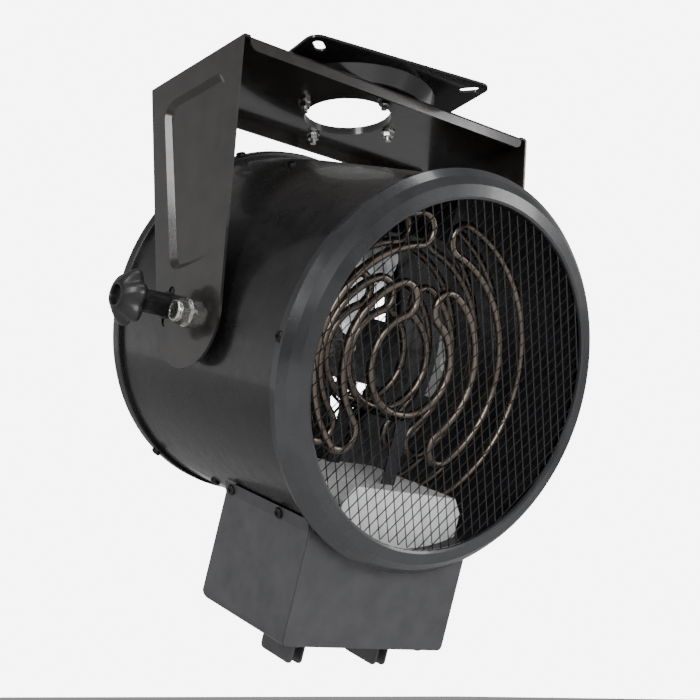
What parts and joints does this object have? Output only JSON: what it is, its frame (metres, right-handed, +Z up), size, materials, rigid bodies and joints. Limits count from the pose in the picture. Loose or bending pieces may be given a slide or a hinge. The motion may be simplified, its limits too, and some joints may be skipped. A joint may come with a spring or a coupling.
{
  "type": "ceiling-mount fan heater",
  "caption": "Ceiling-hung electric fan heater: black drum with tubular elements behind a diamond mesh, tilting in a yoke that swivels under a square ceiling plate.",
  "frame": {"origin": "centre of the ceiling plate's top face", "axes": "+Z up; the drum blows towards -Y, tilted nose-down; +X is to the right seen from the front"},
  "size_m": [0.3806, 0.3243, 0.4447],
  "materials": {
    "plate_black": "glossy black powder coat",
    "yoke_black": "glossy black powder coat",
    "drum_black": "semi-gloss black powder coat",
    "bezel_black": "semi-gloss black powder coat",
    "box_black": "semi-gloss black powder coat",
    "liner_dark": "dull dark sheet",
    "mesh_black": "semi-gloss black coat on expanded and wire steel",
    "zinc": "bright zinc plate",
    "galvanised": "bright galvanised sheet",
    "element_sheath": "warm stainless sheath, lightly heat-stained",
    "fan_aluminium": "plain pressed aluminium",
    "steatite": "unglazed white steatite",
    "motor_black": "satin black enamel",
    "black_screws": "black oxide",
    "black_washer": "black oxide",
    "knob_plastic": "satin black moulding",
    "moulded_black": "black moulding",
    "dial_black": "black moulding",
    "red_lens": "translucent red",
    "red_button": "red moulding",
    "gland_nylon": "black nylon",
    "grommet_rubber": "black rubber",
    "terminal_ivory": "ivory moulding",
    "lead_white": "silicone sleeve"
  },
  "bodies": {
    "ceiling_mount": {"ceiling_plate": "plate_black"},
    "yoke": {"yoke": "yoke_black", "swivel_spacer": "plate_black", "swivel_ring": "plate_black", "swivel_screws": "zinc", "swivel_nuts": "zinc"},
    "fan": {"motor_shaft": "zinc", "fan_impeller": "fan_aluminium", "fan_nut": "zinc"},
    "knob_left": {"tilt_knob_left": "knob_plastic"},
    "knob_right": {"tilt_knob_right": "knob_plastic"},
    "thermostat_dial": {"thermostat_knob": "dial_black"},
    "selector_dial": {"selector_knob": "dial_black"},
    "reset": {"reset_button": "red_button"},
    "drum": {"pivot_doublers": "galvanised", "pivot_bolts": "zinc", "pivot_spacers": "zinc", "pivot_washers": "zinc", "pivot_lock_nuts": "zinc", "lock_studs": "zinc", "stud_spacers": "zinc", "knob_washers": "black_washer", "drum_shell": "drum_black", "inner_liner": "liner_dark", "liner_spacers": "zinc", "front_bezel": "bezel_black", "bezel_screws": "black_screws", "front_mesh": "mesh_black", "heating_element_front": "element_sheath", "heating_element_middle": "element_sheath", "heating_element_rear": "element_sheath", "element_hanger": "liner_dark", "element_stand": "liner_dark", "terminal_cover": "galvanised", "terminal_bushes": "steatite", "rear_rim": "drum_black", "rim_screws": "black_screws", "rear_guard": "mesh_black", "motor_bracket": "motor_black", "bracket_screws": "black_screws", "motor_body": "motor_black", "box_wrapper": "box_black", "box_front_panel": "box_black", "box_rear_panel": "box_black", "box_screws": "black_screws", "foot_left": "box_black", "foot_right": "box_black", "thermostat_body": "moulded_black", "selector_switch": "moulded_black", "pilot_lamp": "red_lens", "limit_switch": "moulded_black", "cable_gland": "gland_nylon", "gland_nut": "gland_nylon", "wiring_grommet": "grommet_rubber", "terminal_block": "terminal_ivory", "internal_leads": "lead_white"}
  },
  "joints": [
    {"name": "swivel", "type": "hinge", "parent": "ceiling_mount", "child": "yoke", "pos_m": [0, 0, 0], "axis": [0, 0, 1], "continuous": true},
    {"name": "tilt", "type": "hinge", "parent": "yoke", "child": "drum", "pos_m": [0, 0, -0.206], "axis": [1, 0, 0], "range_deg": [-21.3, 18.7]},
    {"name": "fan_spin", "type": "hinge", "parent": "drum", "child": "fan", "pos_m": [0, 0.04006, -0.19038], "axis": [0, 0.9317, 0.3633], "continuous": true},
    {"name": "left_knob_turn", "type": "hinge", "parent": "drum", "child": "knob_left", "pos_m": [-0.17, 0.02715, -0.19447], "axis": [1, 0, 0], "range_deg": [0, 540]},
    {"name": "right_knob_turn", "type": "hinge", "parent": "drum", "child": "knob_right", "pos_m": [0.17, 0.02715, -0.19447], "axis": [1, 0, 0], "range_deg": [-540, 0]},
    {"name": "thermostat_turn", "type": "hinge", "parent": "drum", "child": "thermostat_dial", "pos_m": [-0.037, 0.06257, -0.35548], "axis": [0, 0.9317, 0.3633], "range_deg": [0, 270]},
    {"name": "selector_turn", "type": "hinge", "parent": "drum", "child": "selector_dial", "pos_m": [0.037, 0.06257, -0.35548], "axis": [0, 0.9317, 0.3633], "range_deg": [0, 120]},
    {"name": "reset_press", "type": "slide", "parent": "drum", "child": "reset", "axis": [0, -0.9317, -0.3633], "range_m": [0, 0.0015], "stiffness_N_per_m": 600, "springref_m": -0.0008}
  ]
}
